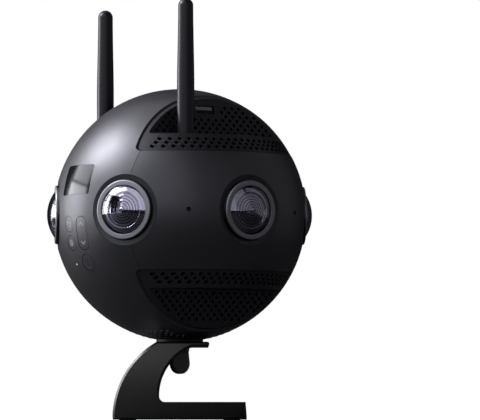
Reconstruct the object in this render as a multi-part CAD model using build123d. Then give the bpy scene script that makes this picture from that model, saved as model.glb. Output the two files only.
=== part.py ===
from build123d import *
import math
import os

os.makedirs("parts", exist_ok=True)

# A ball-shaped camera with six lenses on its equator, on a desk stand.
# Millimetres, +Z up, the front with the display faces -Y, the origin on the table under the ball.
# The camera's own pieces are worked out about the ball's centre and lifted when they are written.

# Driving dimensions of the ball
ball_radius = 71.5
shell_wall = 2.5
inner_radius = ball_radius - shell_wall
seam_gap = 0.2
seat_gap = 0.1
running_gap = 0.05
cut_overrun = 10.0
reach = ball_radius + cut_overrun
side_seam_share = 0.5231
side_seam_x = ball_radius * side_seam_share

# Vents, two on each side above and below the side shells
vent_edge_x_share = 0.4825
vent_edge_z_share = 0.46
ledge_z_share = 0.5975
grille_last_row_share = 0.87
vent_edge_x = ball_radius * vent_edge_x_share
vent_edge_z = ball_radius * vent_edge_z_share
ledge_z = ball_radius * ledge_z_share
vent_tilt_angle = 13.0
vent_corner_radius = 3.6
vent_reveal = 0.6
vent_root_radius = 1.5
vent_inset = 0.8
vent_radius = ball_radius - vent_inset
strip_wall = 2.2
ledge_thickness = 2.0
grille_thickness = 2.4
grille_pitch = 4.8
strip_pitch = 4.35
hole_radius = 1.3
grille_row_pitch = 2.4
strip_row_pitch = 2.15
strip_row_setback = 2.2
strip_border = 3.4
grille_row_setback = 2.1
grille_border = 2.6

# Lenses
lens_angles = (-30.0, 30.0, 90.0, 150.0, -150.0, -90.0)
lens_names = ("front_left", "front_right", "right", "rear_right", "rear_left", "left")
bezel_radius = 19.6
bezel_bore_gap = 0.15
bezel_rim_radius = 16.5
bezel_rim_face_radius = 15.6
bezel_dish_radius = 16.9
bezel_dish_depth = 0.3
bezel_rim_rise = 0.5
bezel_rim_round = 0.7
bezel_flange_radius = 22.0
bezel_flange_thickness = 1.8
bezel_sleeve_radius = 17.0
bezel_sleeve_length = 3.5
dome_radius = 14.0
dome_curve_radius = 21.8
dome_rise = 3.6
dome_thickness = 1.6
dome_edge_height = 1.6
dome_fit_gap = 0.15
seal_setback = 1.16
seal_width = 1.0
seal_depth = 0.9
barrel_radius = 13.0
barrel_wall = 2.0
barrel_head_length = 10.4
barrel_tail_length = 16.0
barrel_front_wall = 0.7
barrel_cone_radius = 8.2
barrel_cone_length = 4.0
retainer_radius = 6.7
retainer_rise = 1.6
element_radius = 6.5
element_curve_radius = 14.0
element_thickness = 2.2
iris_radius = 4.6
iris_setback = 3.4
iris_thickness = 1.2

# Sensors and the core frame behind them
board_thickness = 1.6
board_size = 26.0
sensor_size = 11.0
sensor_thickness = 1.2
sensor_clearance = 1.2
core_wall = 3.0
core_rim = 6.0
core_window = 15.0
core_deck_thickness = 2.0
core_deck_window_radius = 16.0
board_screw_radius = 1.2
board_screw_length = 4.0
board_screw_head_radius = 2.0
board_screw_head = 1.2
board_screw_place = 10.6

# Display and controls on the front
window_width = 26.0
window_height = 17.1
window_centre_z = 18.15
window_corner = 1.5
window_thickness = 1.5
window_ledge = 1.4
window_gap = 0.1
module_width = 24.0
module_height = 14.0
module_thickness = 3.0
control_centre_z = -15.2
button_inset = 0.1
button_gap = 0.25
button_radius = 4.3
shutter_radius = 4.9
button_x = -5.0
back_button_z = -6.6
settings_button_z = -17.1
shutter_x = 6.1
shutter_z = -28.3
rocker_x = 6.8
rocker_z = -12.1
rocker_length = 18.5
rocker_width = 8.2
rocker_gap = 0.35
rocker_skirt = 1.4
rocker_pin_radius = 0.8
rocker_nub_radius = 1.0
rocker_nub_gap = 0.45
rocker_nub_place = 6.5
lug_width = 4.2
lug_thickness = 1.25
flange_step = 0.8
flange_thickness = 1.0
control_spread = 22.4
button_travel = 0.8
switch_gap = 0.2
light_x = -5.8
light_z = -28.9
light_radius = 0.6
switch_height = 1.0
switch_size = 3.4
button_board_width = 22.0
button_board_top = 15.2
button_board_bottom = -20.0
boss_radius = 1.4
boss_place_shares = ((0.87, 0.88), (0.0, 0.89), (-0.23, -1.2))
microphone_angles = (60.0, 120.0, -60.0, -120.0)
microphone_hole_radius = 1.3
microphone_radius = 3.0
microphone_length = 3.0

# Electronics above the core frame
main_board_inset = 0.8
processor_size = 20.0
processor_height = 2.0
sink_size = 44.0
sink_base = 2.5
sink_fin_height = 8.0
sink_fin_thickness = 1.2
sink_fin_count = 9
fan_size = 46.0
fan_height = 10.0
fan_wall_gap = 0.6
fan_bore_radius = 21.5
fan_hub_radius = 8.0
fan_hub_wall = 1.2
fan_spoke_width = 3.0
fan_spoke_thickness = 1.5
fan_spoke_count = 3
fan_floor_gap = 0.4
fan_shaft_radius = 1.5
fan_shaft_length = 4.0
fan_boss_radius = 4.0
fan_boss_height = 4.5
blade_count = 7
blade_thickness = 1.0
blade_angle = 38.0
fan_hole_radius = 1.8

# Battery, which slides out at the back below the lenses
battery_width = 46.0
battery_below_bezel = 3.2
battery_floor_setback = 16.5
battery_front_y = -9.0
battery_gap = 0.3
battery_grip_radius = 14.0
battery_grip_depth = 1.6
tray_wall = 1.5
contact_count = 5
contact_pitch = 4.0
contact_width = 1.5
contact_height = 6.0

# Ports and antennas
usb_y = -4.0
port_z_share = 0.807
port_z = ball_radius * port_z_share
usb_width = 14.5
usb_height = 6.5
usb_opening_width = 12.5
usb_opening_height = 5.1
usb_length = 14.0
usb_tongue_width = 11.0
usb_tongue_height = 1.8
usb_tongue_setback = 1.0
network_width = 15.8
network_height = 9.5
network_opening_width = 12.0
network_opening_height = 7.0
network_length = 12.0
port_wall = 1.0
port_gap = 0.15
port_hole_border = 1.9
antenna_bearing = 60.0
antenna_ring_share = 0.6645
antenna_ring_radius = ball_radius * antenna_ring_share
antenna_x = antenna_ring_radius * math.sin(math.radians(antenna_bearing))
antenna_y = -antenna_ring_radius * math.cos(math.radians(antenna_bearing))
antenna_length = 75.5
antenna_base_radius = 4.6
antenna_waist_radius = 4.85
antenna_waist_height = 20.0
antenna_tip_radius = 4.2
antenna_socket_radius = 3.0
antenna_socket_height = 6.0
antenna_nut_radius = 5.0
antenna_nut_height = 3.0
antenna_foot_gap = 0.3

# Tripod mount plate under the ball
mount_radius = 13.2
mount_flange_radius = 16.0
mount_flange_gap = 0.2
mount_flange_thickness = 3.9
mount_face = -ball_radius
mount_flange_face = mount_flange_gap - math.sqrt(inner_radius**2 - mount_flange_radius**2)
mount_top = mount_flange_face + mount_flange_thickness
tripod_bore_radius = 3.175

# Desk stand, drawn along its toe direction and turned about the ball's axis
stand_turn = 56.14
stand_depth = 56.0
stand_top = 44.1
stand_foot_gap = 0.5
stand_base_top = 10.5
stand_toe = 37.6
stand_heel = 37.5
stand_leg_s = -11.7
stand_tip_s = 17.0
stand_tip_thickness = 2.6
stand_inner_fillet = 3.4
stand_tip_lean = 0.8
stand_tip_round = 1.2
stand_toe_lean = 0.8
stand_shoulder_share = 0.344
stand_belly_s_share = 0.827
stand_belly_h_share = 0.586
stand_inner_low_share = 0.32
stand_inner_mid_s_share = 0.564
stand_inner_mid_h_share = 0.698
stand_inner_top_share = 0.382
stand_edge_round = 1.1
top_pad_radius = 12.6
top_pad_thickness = 0.4
top_pad_bore_radius = 4.2
centre_height = stand_top + top_pad_thickness + ball_radius
foot_pad_radius = 4.5
foot_pad_place_share = 0.78
screw_radius = 3.125
screw_bite = 6.5
screw_hole_radius = 3.6
screw_top_wall = 3.2
screw_seat_h = stand_top - screw_top_wall
screw_collar_radius = 5.4
screw_collar_height = 1.8
screw_relief_radius = 6.6
paddle_radius = 6.0
paddle_thickness = 4.1
paddle_top_width = 10.4
paddle_drop = 8.6
paddle_centre_h = screw_seat_h - paddle_drop
paddle_round = 0.7


# Helpers

def radial_plane(bearing):
    """A plane at the ball's centre that faces a bearing, counted from the front towards the right side."""
    angle = math.radians(bearing)
    facing = (math.sin(angle), -math.cos(angle), 0)
    return Plane(origin=(0, 0, 0), x_dir=(math.cos(angle), math.sin(angle), 0), z_dir=facing)


def front_plane(height):
    """A plane at the ball's centre that faces the point of the front at this height above the centre."""
    rise = math.asin(height / ball_radius)
    return Plane(origin=(0, 0, 0), x_dir=(1, 0, 0), z_dir=(0, -math.cos(rise), math.sin(rise)))


def post(radius, start, end):
    """A round post along Z."""
    return Pos(0, 0, (start + end) / 2) * Cylinder(radius, end - start)


def block(x_range, y_range, z_range):
    """A box between two values on each axis."""
    size = [high - low for low, high in (x_range, y_range, z_range)]
    middle = [(low + high) / 2 for low, high in (x_range, y_range, z_range)]
    return Pos(*middle) * Box(*size)


def turned(curve):
    """A solid turned about Z from an outline in radius and height."""
    return revolve(Plane.XZ * make_face(curve), axis=Axis.Z)


def turned_points(points):
    return turned(Polyline(*points, close=True))


def write(shape, name, lift=centre_height):
    export_step(Pos(0, 0, lift) * shape, "parts/" + name + ".step")


def write_group(shapes, name, lift=centre_height):
    export_step(Compound(children=[Pos(0, 0, lift) * shape for shape in shapes]), "parts/" + name + ".step")


def shell():
    return Sphere(ball_radius) - Sphere(inner_radius)


# Vents. The region of the upper right vent is a prism along Y whose inner side leans back with height.

vent_slope = math.tan(math.radians(vent_tilt_angle))


def lean_x(height, offset=0.0):
    """Where the leaning plane of a vent stands at a height, moved outwards by an offset."""
    return vent_edge_x + offset - vent_slope * (height - vent_edge_z)


def vent_region(gap=0.0):
    top = reach
    outline = Polyline(
        (lean_x(vent_edge_z, gap), vent_edge_z),
        (reach, vent_edge_z),
        (reach, top),
        (lean_x(top, gap), top),
        close=True,
    )
    corner = make_face(outline).vertices().sort_by(Axis.X)[:2].sort_by(Axis.Y)[0]
    face = fillet(corner, vent_corner_radius)
    return extrude(Plane.XZ * face, amount=reach, both=True)


def row_places(half_length, row, pitch):
    """Centres of one row of holes; every other row is offset by half a pitch."""
    offset = pitch / 2 if row % 2 else 0
    count = int((half_length - offset) / pitch)
    right = [offset + pitch * index for index in range(count + 1)]
    left = [-place for place in right if place > 0]
    return left + right


def hole_prisms(places):
    """Four-sided holes along X at the given places in Y and Z."""
    holes = Sketch() + [Pos(y, z) * RegularPolygon(hole_radius, 4) for y, z in places]
    return extrude(Plane.YZ * holes, amount=reach)


def row_heights(first, last, pitch):
    return [first + row * pitch for row in range(int((last - first) / pitch) + 1)]


def half_span(height, offset, border):
    """Half the length of a row of holes, where a leaning plane, moved out by an offset, cuts the ball."""
    return math.sqrt(vent_radius**2 - lean_x(height, offset) ** 2 - height**2) - border


def strip_places():
    places = []
    last = ledge_z - ledge_thickness - hole_radius
    for row, height in enumerate(row_heights(vent_edge_z + strip_row_setback, last, strip_row_pitch)):
        half = half_span(height, 0, strip_border)
        places += [(y, height) for y in row_places(half, row + 1, strip_pitch)]
    return places


def grille_places(port=None):
    """Places of the grille's holes, leaving out those that a port's width and height cover."""
    places = []
    last = vent_radius * grille_last_row_share
    for row, height in enumerate(row_heights(ledge_z + grille_row_setback, last, grille_row_pitch)):
        half = half_span(height, grille_thickness, grille_border)
        for y in row_places(half, row, grille_pitch):
            if port:
                beside = abs(y - usb_y) > port[0] / 2 + port_hole_border
                above = abs(height - port_z) > port[1] / 2 + port_hole_border
                if not (beside or above):
                    continue
            places.append((y, height))
    return places


def vent_shelf(with_antenna):
    """The perforated outer strip of a vent and the flat ledge above it."""
    below_top = block((0, reach), (-reach, reach), (0, ledge_z))
    below_ledge = block((0, reach), (-reach, reach), (0, ledge_z - ledge_thickness))
    outside = (Sphere(vent_radius) & vent_region(vent_reveal)) & below_top
    shelf = outside - (Sphere(vent_radius - strip_wall) & below_ledge)
    shelf -= hole_prisms(strip_places())
    if with_antenna:
        shelf -= Pos(antenna_x, antenna_y, 0) * post(antenna_socket_radius + running_gap, 0, reach)
    return shelf


def port_plane():
    lean = math.radians(vent_tilt_angle)
    origin = (lean_x(port_z, grille_thickness), usb_y, port_z)
    return Plane(origin=origin, x_dir=(0, 1, 0), z_dir=(math.cos(lean), 0, math.sin(lean)))


def vent_grille(port=None):
    """The leaning perforated back wall of a vent, with an opening for a port if it has one."""
    bottom, top = ledge_z, vent_radius
    root_end = lean_x(bottom, grille_thickness) + vent_root_radius
    root_rise = bottom + vent_root_radius
    outline = Polyline(
        (root_end, bottom),
        (lean_x(bottom, vent_reveal), bottom),
        (lean_x(top, vent_reveal), top),
        (lean_x(top, grille_thickness), top),
        (lean_x(root_rise, grille_thickness), root_rise),
    )
    outline += TangentArc(outline @ 1, outline @ 0, tangent=outline % 1)
    wall = extrude(Plane.XZ * make_face(outline), amount=reach, both=True) & Sphere(vent_radius)
    wall -= hole_prisms(grille_places(port))
    if port:
        wall -= port_plane().location * Box(port[0] + port_gap * 2, port[1] + port_gap * 2, cut_overrun * 2)
    return wall


def mirrored(shape, right, upper):
    if not right:
        shape = mirror(shape, about=Plane.YZ)
    if not upper:
        shape = mirror(shape, about=Plane.XY)
    return shape


ports = {("right", "upper"): (usb_width, usb_height), ("left", "upper"): (network_width, network_height)}
for level in ("upper", "lower"):
    for side in ("right", "left"):
        place = (side == "right", level == "upper")
        write(mirrored(vent_shelf(level == "upper"), *place), f"{level}_{side}_vent_shelf")
        write(mirrored(vent_grille(ports.get((side, level))), *place), f"{level}_{side}_vent_grille")


# Lenses. Each piece is turned about its own axis in radius and distance from the ball's centre.

dome_apex = ball_radius + dome_rise
dome_centre = dome_apex - dome_curve_radius
dome_rim_depth = dome_centre + math.sqrt(dome_curve_radius**2 - dome_radius**2)
dome_seat_depth = dome_rim_depth - dome_edge_height
bezel_edge_depth = math.sqrt(ball_radius**2 - bezel_radius**2)
bezel_dish_floor = bezel_edge_depth - bezel_dish_depth
bezel_rim_top = dome_rim_depth + bezel_rim_rise
bezel_bore_radius = dome_radius + dome_fit_gap
bezel_flange_depth = math.sqrt(inner_radius**2 - bezel_flange_radius**2) - seat_gap
bezel_back = bezel_flange_depth - bezel_flange_thickness
seal_groove_front = bezel_edge_depth - seal_setback
tail_bore_radius = sensor_size / math.sqrt(2) + sensor_clearance
barrel_tail_radius = tail_bore_radius + barrel_wall
barrel_cone_depth = dome_seat_depth - barrel_cone_length
iris_depth = barrel_cone_depth - iris_setback
barrel_step_depth = dome_seat_depth - barrel_head_length
board_face_depth = barrel_step_depth - barrel_tail_length
core_apothem = board_face_depth - board_thickness


def lens_bezel():
    outline = [
        (bezel_radius, bezel_edge_depth),
        (bezel_dish_radius, bezel_dish_floor),
        (bezel_rim_radius, bezel_rim_top - bezel_rim_round),
        (bezel_rim_face_radius, bezel_rim_top),
        (bezel_bore_radius + bezel_rim_round, bezel_rim_top),
        (bezel_bore_radius, bezel_rim_top - bezel_rim_round),
        (bezel_bore_radius, dome_seat_depth),
        (barrel_radius + running_gap, dome_seat_depth),
        (barrel_radius + running_gap, bezel_back - bezel_sleeve_length),
        (bezel_sleeve_radius, bezel_back - bezel_sleeve_length),
        (bezel_sleeve_radius, bezel_back),
        (bezel_flange_radius, bezel_back),
        (bezel_flange_radius, bezel_flange_depth),
        (bezel_radius, bezel_flange_depth),
        (bezel_radius, seal_groove_front - seal_width),
        (bezel_radius - seal_depth, seal_groove_front - seal_width),
        (bezel_radius - seal_depth, seal_groove_front),
        (bezel_radius, seal_groove_front),
    ]
    return turned_points(outline)


def lens_seal():
    inner = bezel_radius - seal_depth + seat_gap
    outer = bezel_radius + bezel_bore_gap / 2
    ring = post(outer, seal_groove_front - seal_width + seat_gap, seal_groove_front - seat_gap)
    return ring - post(inner, 0, ball_radius)


def lens_dome():
    """A meniscus of glass with concentric faces and a short edge that sits in the bezel."""
    inner_curve = dome_curve_radius - dome_thickness
    edge_angle = math.degrees(math.acos(dome_radius / dome_curve_radius))
    seat_angle = math.degrees(math.asin((dome_seat_depth - dome_centre) / inner_curve))
    seat_radius = inner_curve * math.cos(math.radians(seat_angle))
    outer_arc = CenterArc((0, dome_centre), dome_curve_radius, edge_angle, 90 - edge_angle)
    inner_arc = CenterArc((0, dome_centre), inner_curve, seat_angle, 90 - seat_angle)
    rim, seat = (dome_radius, dome_rim_depth), (seat_radius, dome_seat_depth)
    edge = Polyline(rim, (dome_radius, dome_seat_depth), seat)
    axis = Line((0, dome_centre + inner_curve), (0, dome_apex))
    return turned(outer_arc + inner_arc + edge + axis)


def lens_barrel():
    """The tube behind the glass: a cone, the ring that holds the second element, an iris and the tail."""
    front = dome_seat_depth - seat_gap
    outline = [
        (barrel_radius, front),
        (barrel_radius - barrel_front_wall, front),
        (barrel_cone_radius, barrel_cone_depth),
        (barrel_cone_radius, barrel_cone_depth + retainer_rise),
        (retainer_radius, barrel_cone_depth + retainer_rise),
        (retainer_radius, iris_depth),
        (iris_radius, iris_depth),
        (iris_radius, iris_depth - iris_thickness),
        (tail_bore_radius, iris_depth - iris_thickness),
        (tail_bore_radius, board_face_depth),
        (barrel_tail_radius, board_face_depth),
        (barrel_tail_radius, barrel_step_depth),
        (barrel_radius, barrel_step_depth),
    ]
    return turned_points(outline)


def inner_element():
    """The second lens, bulging to the front and resting on the iris."""
    sagitta = element_curve_radius - math.sqrt(element_curve_radius**2 - element_radius**2)
    rim = iris_depth + element_thickness
    floor = iris_depth
    centre = rim + sagitta - element_curve_radius
    start_angle = math.degrees(math.acos(element_radius / element_curve_radius))
    arc = CenterArc((0, centre), element_curve_radius, start_angle, 90 - start_angle)
    edge = Polyline((element_radius, rim), (element_radius, floor), (0, floor), (0, rim + sagitta))
    return turned(arc + edge)


def board_screw_places():
    """Two screws hold each sensor board, at opposite corners."""
    return [Pos(sign * board_screw_place, sign * board_screw_place, 0) for sign in (1, -1)]


def sensor_board():
    half = board_size / 2
    board = block((-half, half), (-half, half), (core_apothem, board_face_depth))
    for place in board_screw_places():
        start, end = core_apothem - cut_overrun, board_face_depth + cut_overrun
        board -= place * post(board_screw_radius + seat_gap, start, end)
    return board


def board_screw():
    shank = post(board_screw_radius, board_face_depth - board_screw_length, board_face_depth)
    head = extrude(RegularPolygon(board_screw_head_radius, 6), amount=board_screw_head)
    return shank + Pos(0, 0, board_face_depth) * head


def image_sensor():
    half = sensor_size / 2
    return block((-half, half), (-half, half), (board_face_depth, board_face_depth + sensor_thickness))


def at_lenses(shape):
    return [radial_plane(bearing).location * shape for bearing in lens_angles]


for name, bezel, dome in zip(lens_names, at_lenses(lens_bezel()), at_lenses(lens_dome())):
    write(bezel, name + "_lens_bezel")
    write(dome, name + "_lens_dome")
write_group(at_lenses(lens_seal()), "lens_seals")
write_group(at_lenses(lens_barrel()), "lens_barrels")
write_group(at_lenses(inner_element()), "inner_lens_elements")
write_group(at_lenses(image_sensor()), "image_sensors")
write_group(at_lenses(sensor_board()), "sensor_boards")
board_screws = [place * board_screw() for place in board_screw_places()]
write_group([screw for one in board_screws for screw in at_lenses(one)], "sensor_board_screws")


# Core frame: a hexagonal tube whose six flats carry the sensor boards, closed by a deck below.

battery_top = -bezel_radius - battery_below_bezel
battery_low = battery_floor_setback - ball_radius
core_top = board_size / 2 + core_rim
core_bottom = battery_top + battery_gap + tray_wall + seat_gap

def hexagon(apothem, start, end):
    outline = RegularPolygon(apothem, 6, major_radius=False)
    return Pos(0, 0, start) * Rot(0, 0, 30) * extrude(outline, amount=end - start)


def core_frame():
    frame = hexagon(core_apothem, core_bottom, core_top)
    frame -= hexagon(core_apothem - core_wall, core_bottom + core_deck_thickness, core_top + cut_overrun)
    frame -= post(core_deck_window_radius, core_bottom - cut_overrun, core_bottom + cut_overrun)
    window = Pos(0, 0, core_apothem) * Box(core_window, core_window, core_wall * 2 + cut_overrun)
    for cut in at_lenses(window):
        frame -= cut
    for place in board_screw_places():
        start = board_face_depth - board_screw_length
        hole = place * post(board_screw_radius + running_gap, start, board_face_depth)
        for cut in at_lenses(hole):
            frame -= cut
    return frame


write(core_frame(), "core_frame")


# Electronics stacked on the core frame: main board, processor, heat sink and fan.

board_top = core_top + board_thickness
sink_bottom = board_top + processor_height
fan_bottom = sink_bottom + sink_base + sink_fin_height
fan_top = fan_bottom + fan_height


def main_board():
    return hexagon(core_apothem - main_board_inset, core_top, board_top)


def processor():
    half = processor_size / 2
    return block((-half, half), (-half, half), (board_top, sink_bottom))


def heat_sink():
    half = sink_size / 2
    sink = block((-half, half), (-half, half), (sink_bottom, sink_bottom + sink_base))
    pitch = (sink_size - sink_fin_thickness) / (sink_fin_count - 1)
    for index in range(sink_fin_count):
        left = -half + index * pitch
        sink += block((left, left + sink_fin_thickness), (-half, half), (sink_bottom, fan_bottom))
    return sink


def fan_frame():
    half = fan_size / 2
    frame = block((-half, half), (-half, half), (fan_bottom, fan_top))
    frame -= post(fan_bore_radius, fan_bottom - cut_overrun, fan_top + cut_overrun)
    corner = half - fan_hole_radius * 2
    for x, y in ((1, 1), (1, -1), (-1, 1), (-1, -1)):
        hole = post(fan_hole_radius, fan_bottom - cut_overrun, fan_top + cut_overrun)
        frame -= Pos(x * corner, y * corner, 0) * hole
    for index in range(fan_spoke_count):
        arm = block(
            (0, fan_bore_radius + fan_wall_gap),
            (-fan_spoke_width / 2, fan_spoke_width / 2),
            (fan_bottom, fan_bottom + fan_spoke_thickness),
        )
        frame += Rot(0, 0, 360 / fan_spoke_count * index) * arm
    frame += post(fan_boss_radius, fan_bottom, fan_bottom + fan_boss_height)
    return frame - post(fan_shaft_radius + running_gap, fan_bottom + fan_spoke_thickness, fan_top)


def fan_impeller():
    low = fan_bottom + fan_spoke_thickness + fan_floor_gap
    high = fan_top - fan_floor_gap
    hub = post(fan_hub_radius, low, high) - post(fan_hub_radius - fan_hub_wall, low, high - fan_hub_wall)
    shaft_low = fan_bottom + fan_boss_height - fan_shaft_length + running_gap * 2
    hub += post(fan_shaft_radius, max(shaft_low, fan_bottom + fan_spoke_thickness + running_gap), high)
    ring = post(fan_bore_radius - fan_wall_gap, low, high) - post(fan_hub_radius - fan_hub_wall / 2, low, high)
    chord = (high - low) / math.cos(math.radians(blade_angle)) + blade_thickness * 2
    blade = Box(fan_bore_radius, blade_thickness, chord)
    blade = Pos((fan_bore_radius + fan_hub_radius) / 2, 0, (low + high) / 2) * Rot(blade_angle, 0, 0) * blade
    blade = blade & ring
    for index in range(blade_count):
        hub += Rot(0, 0, 360 / blade_count * index) * blade
    return hub


write(main_board(), "main_board")
write(processor(), "processor")
write(heat_sink(), "heat_sink")
write(fan_frame(), "fan_frame")
write(fan_impeller(), "fan_impeller")


# Controls. They slide or rock square to one plane that faces the middle of their group.

control_plane = front_plane(control_centre_z)
display_plane = front_plane(window_centre_z)
flange_front = math.sqrt(inner_radius**2 - control_spread**2) - button_gap
button_floor = flange_front - flange_thickness
switch_top = button_floor - button_travel - switch_gap
board_front = switch_top - switch_height
rocker_pivot_depth = flange_front + rocker_pin_radius
rocker_floor = rocker_pivot_depth - rocker_skirt
rocker_nub_floor = switch_top + rocker_nub_gap
lug_floor = rocker_pivot_depth - rocker_pin_radius * 2
module_depth = math.sqrt(inner_radius**2 - module_width**2 / 4 - module_height**2 / 4) - seat_gap
microphone_front = math.sqrt(inner_radius**2 - microphone_radius**2) - seat_gap


def on_controls(x, z):
    """Where a point of the ball's front lies in the plane of the controls."""
    rise = math.asin(control_centre_z / ball_radius)
    y = -math.sqrt(ball_radius**2 - x**2 - z**2)
    return Pos(x, y * math.sin(rise) + z * math.cos(rise), 0)


button_places = {
    "back_button": (on_controls(button_x, back_button_z), button_radius),
    "settings_button": (on_controls(button_x, settings_button_z), button_radius),
    "shutter_button": (on_controls(shutter_x, shutter_z), shutter_radius),
}
rocker_place = on_controls(rocker_x, rocker_z)
light_place = on_controls(light_x, light_z)


def rocker_slot(gap, start, end):
    outline = SlotOverall(rocker_length + gap * 2, rocker_width + gap * 2, rotation=90)
    return Pos(0, 0, start) * extrude(outline, amount=end - start)


def rocker_pin(radius):
    length = rocker_width + (rocker_gap + lug_thickness) * 2
    return Pos(0, 0, rocker_pivot_depth) * Rot(0, 90, 0) * Cylinder(radius, length)


def control_cuts():
    cuts = [place * post(radius + button_gap, board_front, reach) for place, radius in button_places.values()]
    cuts.append(rocker_place * rocker_slot(rocker_gap, board_front, reach))
    cuts.append(light_place * post(light_radius + running_gap, board_front, reach))
    return [control_plane.location * cut for cut in cuts]


def control_supports():
    """Posts inside the housing for the button board, and two lugs for the rocker's pin."""
    supports = []
    for x_share, y_share in boss_place_shares:
        place = Pos(x_share * button_board_width / 2, y_share * button_board_top, 0)
        supports.append(place * post(boss_radius, board_front, ball_radius))
    for side in (1, -1):
        near = rocker_width / 2 + rocker_gap
        x_range = sorted((side * near, side * (near + lug_thickness)))
        lug = block(x_range, (-lug_width / 2, lug_width / 2), (lug_floor, ball_radius))
        supports.append(rocker_place * (lug - rocker_pin(rocker_pin_radius + running_gap)))
    limit = Sphere(inner_radius + shell_wall / 2)
    return [(control_plane.location * support) & limit for support in supports]


def round_button(place, radius):
    button = post(radius, button_floor, reach)
    button = control_plane.location * (place * button)
    button = button & Sphere(ball_radius - button_inset)
    return button + control_plane.location * (place * post(radius + flange_step, button_floor, flange_front))


def rocker():
    body = rocker_slot(0, rocker_floor, reach)
    for side in (1, -1):
        nub = post(rocker_nub_radius, rocker_nub_floor, rocker_pivot_depth)
        body += Pos(0, side * rocker_nub_place, 0) * nub
    body += rocker_pin(rocker_pin_radius)
    return (control_plane.location * (rocker_place * body)) & Sphere(ball_radius - button_inset)


def status_light():
    pipe = post(light_radius, board_front + switch_gap, reach)
    return (control_plane.location * (light_place * pipe)) & Sphere(ball_radius)


def button_board():
    half = button_board_width / 2
    back = board_front - board_thickness
    board = block((-half, half), (button_board_bottom, button_board_top), (back, board_front))
    side = switch_size / 2
    switch = block((-side, side), (-side, side), (back, board_front + switch_height))
    places = [place for place, radius in button_places.values()]
    places += [rocker_place * Pos(0, sign * rocker_nub_place, 0) for sign in (1, -1)]
    for place in places:
        board += place * switch
    return control_plane.location * board


def display_cut(width, height, corner, start):
    outline = RectangleRounded(width, height, corner)
    return display_plane.location * (Pos(0, 0, start) * extrude(outline, amount=reach - start))


def display_window():
    pane = display_cut(window_width, window_height, window_corner, module_depth)
    return pane & (Sphere(ball_radius) - Sphere(ball_radius - window_thickness))


def display_module():
    half_width, half_height = module_width / 2, module_height / 2
    depth = (module_depth - module_thickness, module_depth)
    return display_plane.location * block((-half_width, half_width), (-half_height, half_height), depth)


# Battery with its tray and contacts, low at the back

battery_half = battery_width / 2


def battery_space(gap, y_end=reach):
    width = (-battery_half - gap, battery_half + gap)
    return block(width, (battery_front_y - gap, y_end), (battery_low - gap, battery_top + gap))


def battery_pack():
    pack = battery_space(0) & Sphere(ball_radius)
    middle_z = (battery_top + battery_low) / 2
    face_y = math.sqrt(ball_radius**2 - middle_z**2)
    grip = Rot(0, 90, 0) * Cylinder(battery_grip_radius, battery_half)
    return pack - Pos(0, face_y + battery_grip_radius - battery_grip_depth, middle_z) * grip


def contact_block(gap):
    width = contact_pitch * contact_count / 2 + gap
    wall = (battery_front_y - battery_gap - tray_wall - gap, battery_front_y - battery_gap + gap)
    middle_z = (battery_top + battery_low) / 2
    height = contact_height / 2 + contact_width + gap
    return block((-width, width), wall, (middle_z - height, middle_z + height))


def battery_tray():
    outer = battery_space(battery_gap + tray_wall) & Sphere(inner_radius - seat_gap)
    return outer - battery_space(battery_gap) - contact_block(seat_gap)


def battery_contacts():
    contacts = contact_block(0)
    middle_z = (battery_top + battery_low) / 2
    for index in range(contact_count):
        x = (index - (contact_count - 1) / 2) * contact_pitch
        x_range = (x - contact_width / 2, x + contact_width / 2)
        y_range = (battery_front_y - battery_gap - tray_wall, battery_front_y - seat_gap)
        contacts += block(x_range, y_range, (middle_z - contact_height / 2, middle_z + contact_height / 2))
    return contacts


# Shells. The side shells meet the main housing on two upright planes beside the lens bores.

def lens_bores():
    return at_lenses(post(bezel_radius + bezel_bore_gap, 0, reach))


def side_space(offset):
    height = vent_edge_z - offset
    return block((side_seam_x + offset, reach), (-reach, reach), (-height, height))


def main_housing():
    housing = shell()
    for right in (True, False):
        housing -= mirrored(side_space(0), right, True)
        for upper in (True, False):
            housing -= mirrored(vent_region(), right, upper)
    for bore in lens_bores():
        housing -= bore
    housing -= post(mount_radius + seat_gap, -reach, 0)
    opening = battery_space(battery_gap) & block((-reach, reach), (0, reach), (-reach, reach))
    housing -= opening
    sight_width, sight_height = window_width - window_ledge * 2, window_height - window_ledge * 2
    housing -= display_cut(sight_width, sight_height, window_corner, module_depth - shell_wall)
    pane_width, pane_height = window_width + window_gap * 2, window_height + window_gap * 2
    pane_space = display_cut(pane_width, pane_height, window_corner, board_front)
    housing -= pane_space - Sphere(ball_radius - window_thickness - window_gap)
    for cut in control_cuts():
        housing -= cut
    for support in control_supports():
        housing += support
    return housing


def side_shell():
    side = shell() & side_space(seam_gap)
    for bore in lens_bores():
        side -= bore
    for bearing in microphone_angles:
        side -= radial_plane(bearing).location * post(microphone_hole_radius, 0, reach)
    return side


def microphones():
    capsule = post(microphone_radius, microphone_front - microphone_length, microphone_front)
    return [radial_plane(bearing).location * capsule for bearing in microphone_angles]


write(main_housing(), "main_housing")
for side in ("right", "left"):
    write(mirrored(side_shell(), side == "right", True), side + "_side_shell")
write_group(microphones(), "microphones")
for name, (place, radius) in button_places.items():
    write(round_button(place, radius), name)
write(rocker(), "up_down_rocker")
write(status_light(), "status_light")
write(button_board(), "button_board")
write(display_window(), "display_window")
write(display_module(), "display_module")
write(battery_pack(), "battery_pack")
write(battery_tray(), "battery_tray")
write(battery_contacts(), "battery_contacts")


# Ports in the upper vents, set square to the leaning grilles

def port_shell(width, height, opening_width, opening_height, length):
    body = block((-width / 2, width / 2), (-height / 2, height / 2), (-length, port_gap))
    half_width, half_height = opening_width / 2, opening_height / 2
    opening = (port_wall - length, cut_overrun)
    return body - block((-half_width, half_width), (-half_height, half_height), opening)


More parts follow.
